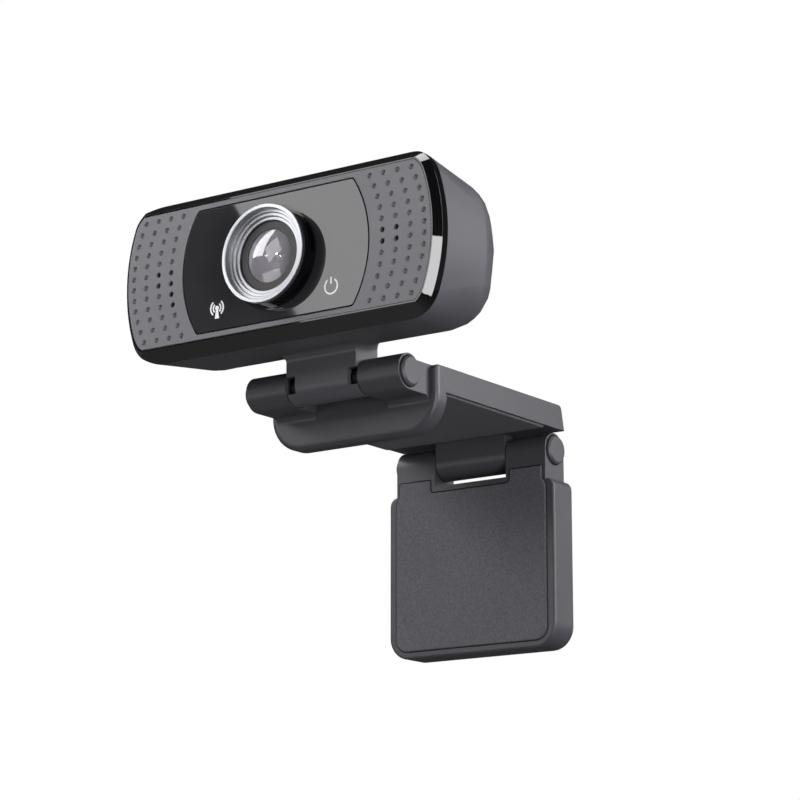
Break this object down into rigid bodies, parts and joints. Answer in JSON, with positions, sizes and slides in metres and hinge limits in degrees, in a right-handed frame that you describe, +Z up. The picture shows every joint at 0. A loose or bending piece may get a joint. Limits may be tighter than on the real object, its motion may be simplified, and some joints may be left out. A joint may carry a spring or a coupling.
{
  "type": "webcam",
  "caption": "Wide webcam head with a glossy centre panel and stepped lens ring, tilting on a clip arm whose padded rear leg folds to grip a monitor.",
  "frame": {"origin": "centre of the underside of the rubber rest pad under the clip platform, the face that lies on a monitor's top edge", "axes": "+Z up, the lens looks along -Y towards the user, +X to the user's right when facing the lens"},
  "size_m": [0.0842, 0.0854, 0.0934],
  "materials": {
    "rim_gloss_black": "piano gloss",
    "face_grey": "satin, fine mould grain",
    "panel_gloss_black": "polished",
    "mark_white": "printed",
    "barrel_gloss_black": "polished",
    "trim_aluminium": "turned",
    "retainer_gloss_black": "polished",
    "lens_glass": "coated",
    "cell_black_metal": "matt black",
    "board_green": "solder mask",
    "chip_black": "moulded",
    "filter_glass": "coated",
    "screw_steel": "zinc plated",
    "boot_rubber": "moulded",
    "microphone_can": "drawn",
    "lamp_clear": "clear",
    "housing_grey": "fine mould grain",
    "grommet_rubber": "moulded",
    "hinge_steel": "ground",
    "clip_grey": "satin, fine mould grain",
    "cap_grey": "satin",
    "pad_rubber": "fine grain",
    "weight_steel": "plain"
  },
  "bodies": {
    "clip": {"clip_arm": "clip_grey", "rest_pad": "pad_rubber", "tilt_pin": "hinge_steel", "tilt_pin_caps": "cap_grey"},
    "head": {"rim_bezel": "rim_gloss_black", "face_plate": "face_grey", "centre_panel": "panel_gloss_black", "power_icon": "mark_white", "wireless_icon": "mark_white", "lens_barrel": "barrel_gloss_black", "lens_trim_ring": "trim_aluminium", "lens_retainer": "retainer_gloss_black", "front_lens": "lens_glass", "lens_cell": "cell_black_metal", "aperture_stop": "cell_black_metal", "inner_lens": "lens_glass", "main_board": "board_green", "image_sensor": "chip_black", "ir_filter": "filter_glass", "controller_chip": "chip_black", "board_screws": "screw_steel", "microphone_boots": "boot_rubber", "microphones": "microphone_can", "indicator_leds": "lamp_clear", "rear_housing": "housing_grey", "case_screws": "screw_steel", "cable_grommet": "grommet_rubber", "friction_sleeves": "hinge_steel"},
    "leg": {"rear_leg": "clip_grey", "leg_pad": "pad_rubber", "leg_weight": "weight_steel", "fold_pin": "hinge_steel", "fold_pin_caps": "cap_grey"}
  },
  "joints": [
    {"name": "head_tilt", "type": "hinge", "parent": "clip", "child": "head", "pos_m": [0, -0.0306, 0.0033], "axis": [1, 0, 0], "range_deg": [-30, 35]},
    {"name": "leg_fold", "type": "hinge", "parent": "clip", "child": "leg", "pos_m": [0, 0.026, -0.00395], "axis": [1, 0, 0], "range_deg": [-75, 60]}
  ]
}
